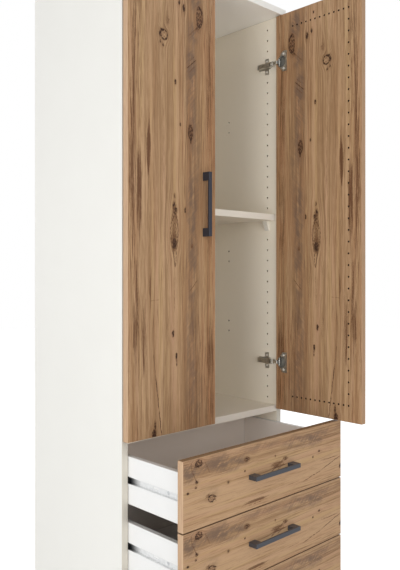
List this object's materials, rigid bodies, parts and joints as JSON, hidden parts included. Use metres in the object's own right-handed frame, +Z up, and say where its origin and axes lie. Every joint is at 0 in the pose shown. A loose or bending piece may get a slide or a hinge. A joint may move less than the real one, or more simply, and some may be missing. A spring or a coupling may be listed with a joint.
{
  "type": "chifforobe",
  "caption": "Tall narrow wardrobe cupboard with hinged wood-decor doors above a stack of sliding drawers, in a white board carcass with an adjustable shelf.",
  "frame": {"origin": "on the floor, under the middle of the carcass", "axes": "+Z up, the doors and drawers face -Y, +X to the right of someone facing them"},
  "size_m": [0.6162, 0.7114, 1.76],
  "materials": {
    "white_board": "satin white melamine on particle board",
    "hardboard": "white-faced hardboard",
    "wood_decor": "honey-brown rustic oak decor, satin",
    "dowel_wood": "plain beech",
    "drawer_board": "foil-wrapped board, light outside and taupe inside",
    "white_plastic": "moulded white",
    "dark_plastic": "moulded black",
    "nickel_steel": "nickel plated",
    "zinc_steel": "zinc plated",
    "anthracite_metal": "satin anthracite lacquer"
  },
  "bodies": {
    "carcass": {"left_side_panel": "white_board", "right_side_panel": "white_board", "top_board": "white_board", "bottom_board": "white_board", "divider_board": "white_board", "back_panel": "hardboard", "plinth_board": "white_board", "adjustable_shelf": "white_board", "shelf_supports": "white_plastic", "floor_glides": "dark_plastic", "top_dowels": "dowel_wood", "cam_locks": "nickel_steel", "cam_bolts": "nickel_steel", "cabinet_rails": "zinc_steel", "rail_end_caps": "dark_plastic", "left_hinge_plates": "nickel_steel", "right_hinge_plates": "nickel_steel", "left_hinge_arms": "nickel_steel", "right_hinge_arms": "nickel_steel"},
    "left_links": {"left_hinge_links": "nickel_steel"},
    "left_door": {"left_door": "wood_decor", "left_door_handle": "anthracite_metal", "left_hinge_cups": "nickel_steel"},
    "right_links": {"right_hinge_links": "nickel_steel"},
    "right_door": {"right_door": "wood_decor", "right_door_handle": "anthracite_metal", "right_hinge_cups": "nickel_steel"},
    "drawer_1": {"drawer_1_front": "wood_decor", "drawer_1_handle": "anthracite_metal", "drawer_1_left_side": "drawer_board", "drawer_1_right_side": "drawer_board", "drawer_1_bottom": "drawer_board", "drawer_1_back": "drawer_board", "drawer_1_runners": "zinc_steel"},
    "ball_cages_1": {"drawer_1_ball_cages": "zinc_steel"},
    "drawer_2": {"drawer_2_front": "wood_decor", "drawer_2_handle": "anthracite_metal", "drawer_2_left_side": "drawer_board", "drawer_2_right_side": "drawer_board", "drawer_2_bottom": "drawer_board", "drawer_2_back": "drawer_board", "drawer_2_runners": "zinc_steel"},
    "ball_cages_2": {"drawer_2_ball_cages": "zinc_steel"},
    "drawer_3": {"drawer_3_front": "wood_decor", "drawer_3_handle": "anthracite_metal", "drawer_3_left_side": "drawer_board", "drawer_3_right_side": "drawer_board", "drawer_3_bottom": "drawer_board", "drawer_3_back": "drawer_board", "drawer_3_runners": "zinc_steel"},
    "ball_cages_3": {"drawer_3_ball_cages": "zinc_steel"}
  },
  "joints": [
    {"name": "left_link_turn", "type": "hinge", "parent": "carcass", "child": "left_links", "pos_m": [-0.271, -0.196, 1.1505], "axis": [0, 0, -1], "range_deg": [-36.2, 0.1]},
    {"name": "left_door_swing", "type": "hinge", "parent": "left_links", "child": "left_door", "pos_m": [-0.289, -0.2115, 1.1505], "axis": [0, 0, -1], "range_deg": [0, 131.1]},
    {"name": "right_link_turn", "type": "hinge", "parent": "carcass", "child": "right_links", "pos_m": [0.271, -0.196, 1.1505], "axis": [0, 0, 1], "range_deg": [-2, 34.3]},
    {"name": "right_door_swing", "type": "hinge", "parent": "right_links", "child": "right_door", "pos_m": [0.27718, -0.21894, 1.1505], "axis": [0, 0, 1], "range_deg": [-124.2, 6.9]},
    {"name": "drawer_1_slide", "type": "slide", "parent": "carcass", "child": "drawer_1", "axis": [0, -1, 0], "range_m": [-0.1965, 0.0435]},
    {"name": "ball_cages_1_slide", "type": "slide", "parent": "carcass", "child": "ball_cages_1", "axis": [0, -1, 0], "range_m": [-0.0983, 0.0218]},
    {"name": "drawer_2_slide", "type": "slide", "parent": "carcass", "child": "drawer_2", "axis": [0, -1, 0], "range_m": [-0.1965, 0.0435]},
    {"name": "ball_cages_2_slide", "type": "slide", "parent": "carcass", "child": "ball_cages_2", "axis": [0, -1, 0], "range_m": [-0.0983, 0.0218]},
    {"name": "drawer_3_slide", "type": "slide", "parent": "carcass", "child": "drawer_3", "axis": [0, -1, 0], "range_m": [-0.1965, 0.0435]},
    {"name": "ball_cages_3_slide", "type": "slide", "parent": "carcass", "child": "ball_cages_3", "axis": [0, -1, 0], "range_m": [-0.0983, 0.0218]}
  ],
  "couplings": [
    {"joint": "left_link_turn", "follows": "left_door_swing", "ratio": -0.27536},
    {"joint": "right_link_turn", "follows": "right_door_swing", "ratio": -0.27536},
    {"joint": "ball_cages_1_slide", "follows": "drawer_1_slide", "ratio": 0.5},
    {"joint": "ball_cages_2_slide", "follows": "drawer_2_slide", "ratio": 0.5},
    {"joint": "ball_cages_3_slide", "follows": "drawer_3_slide", "ratio": 0.5}
  ]
}
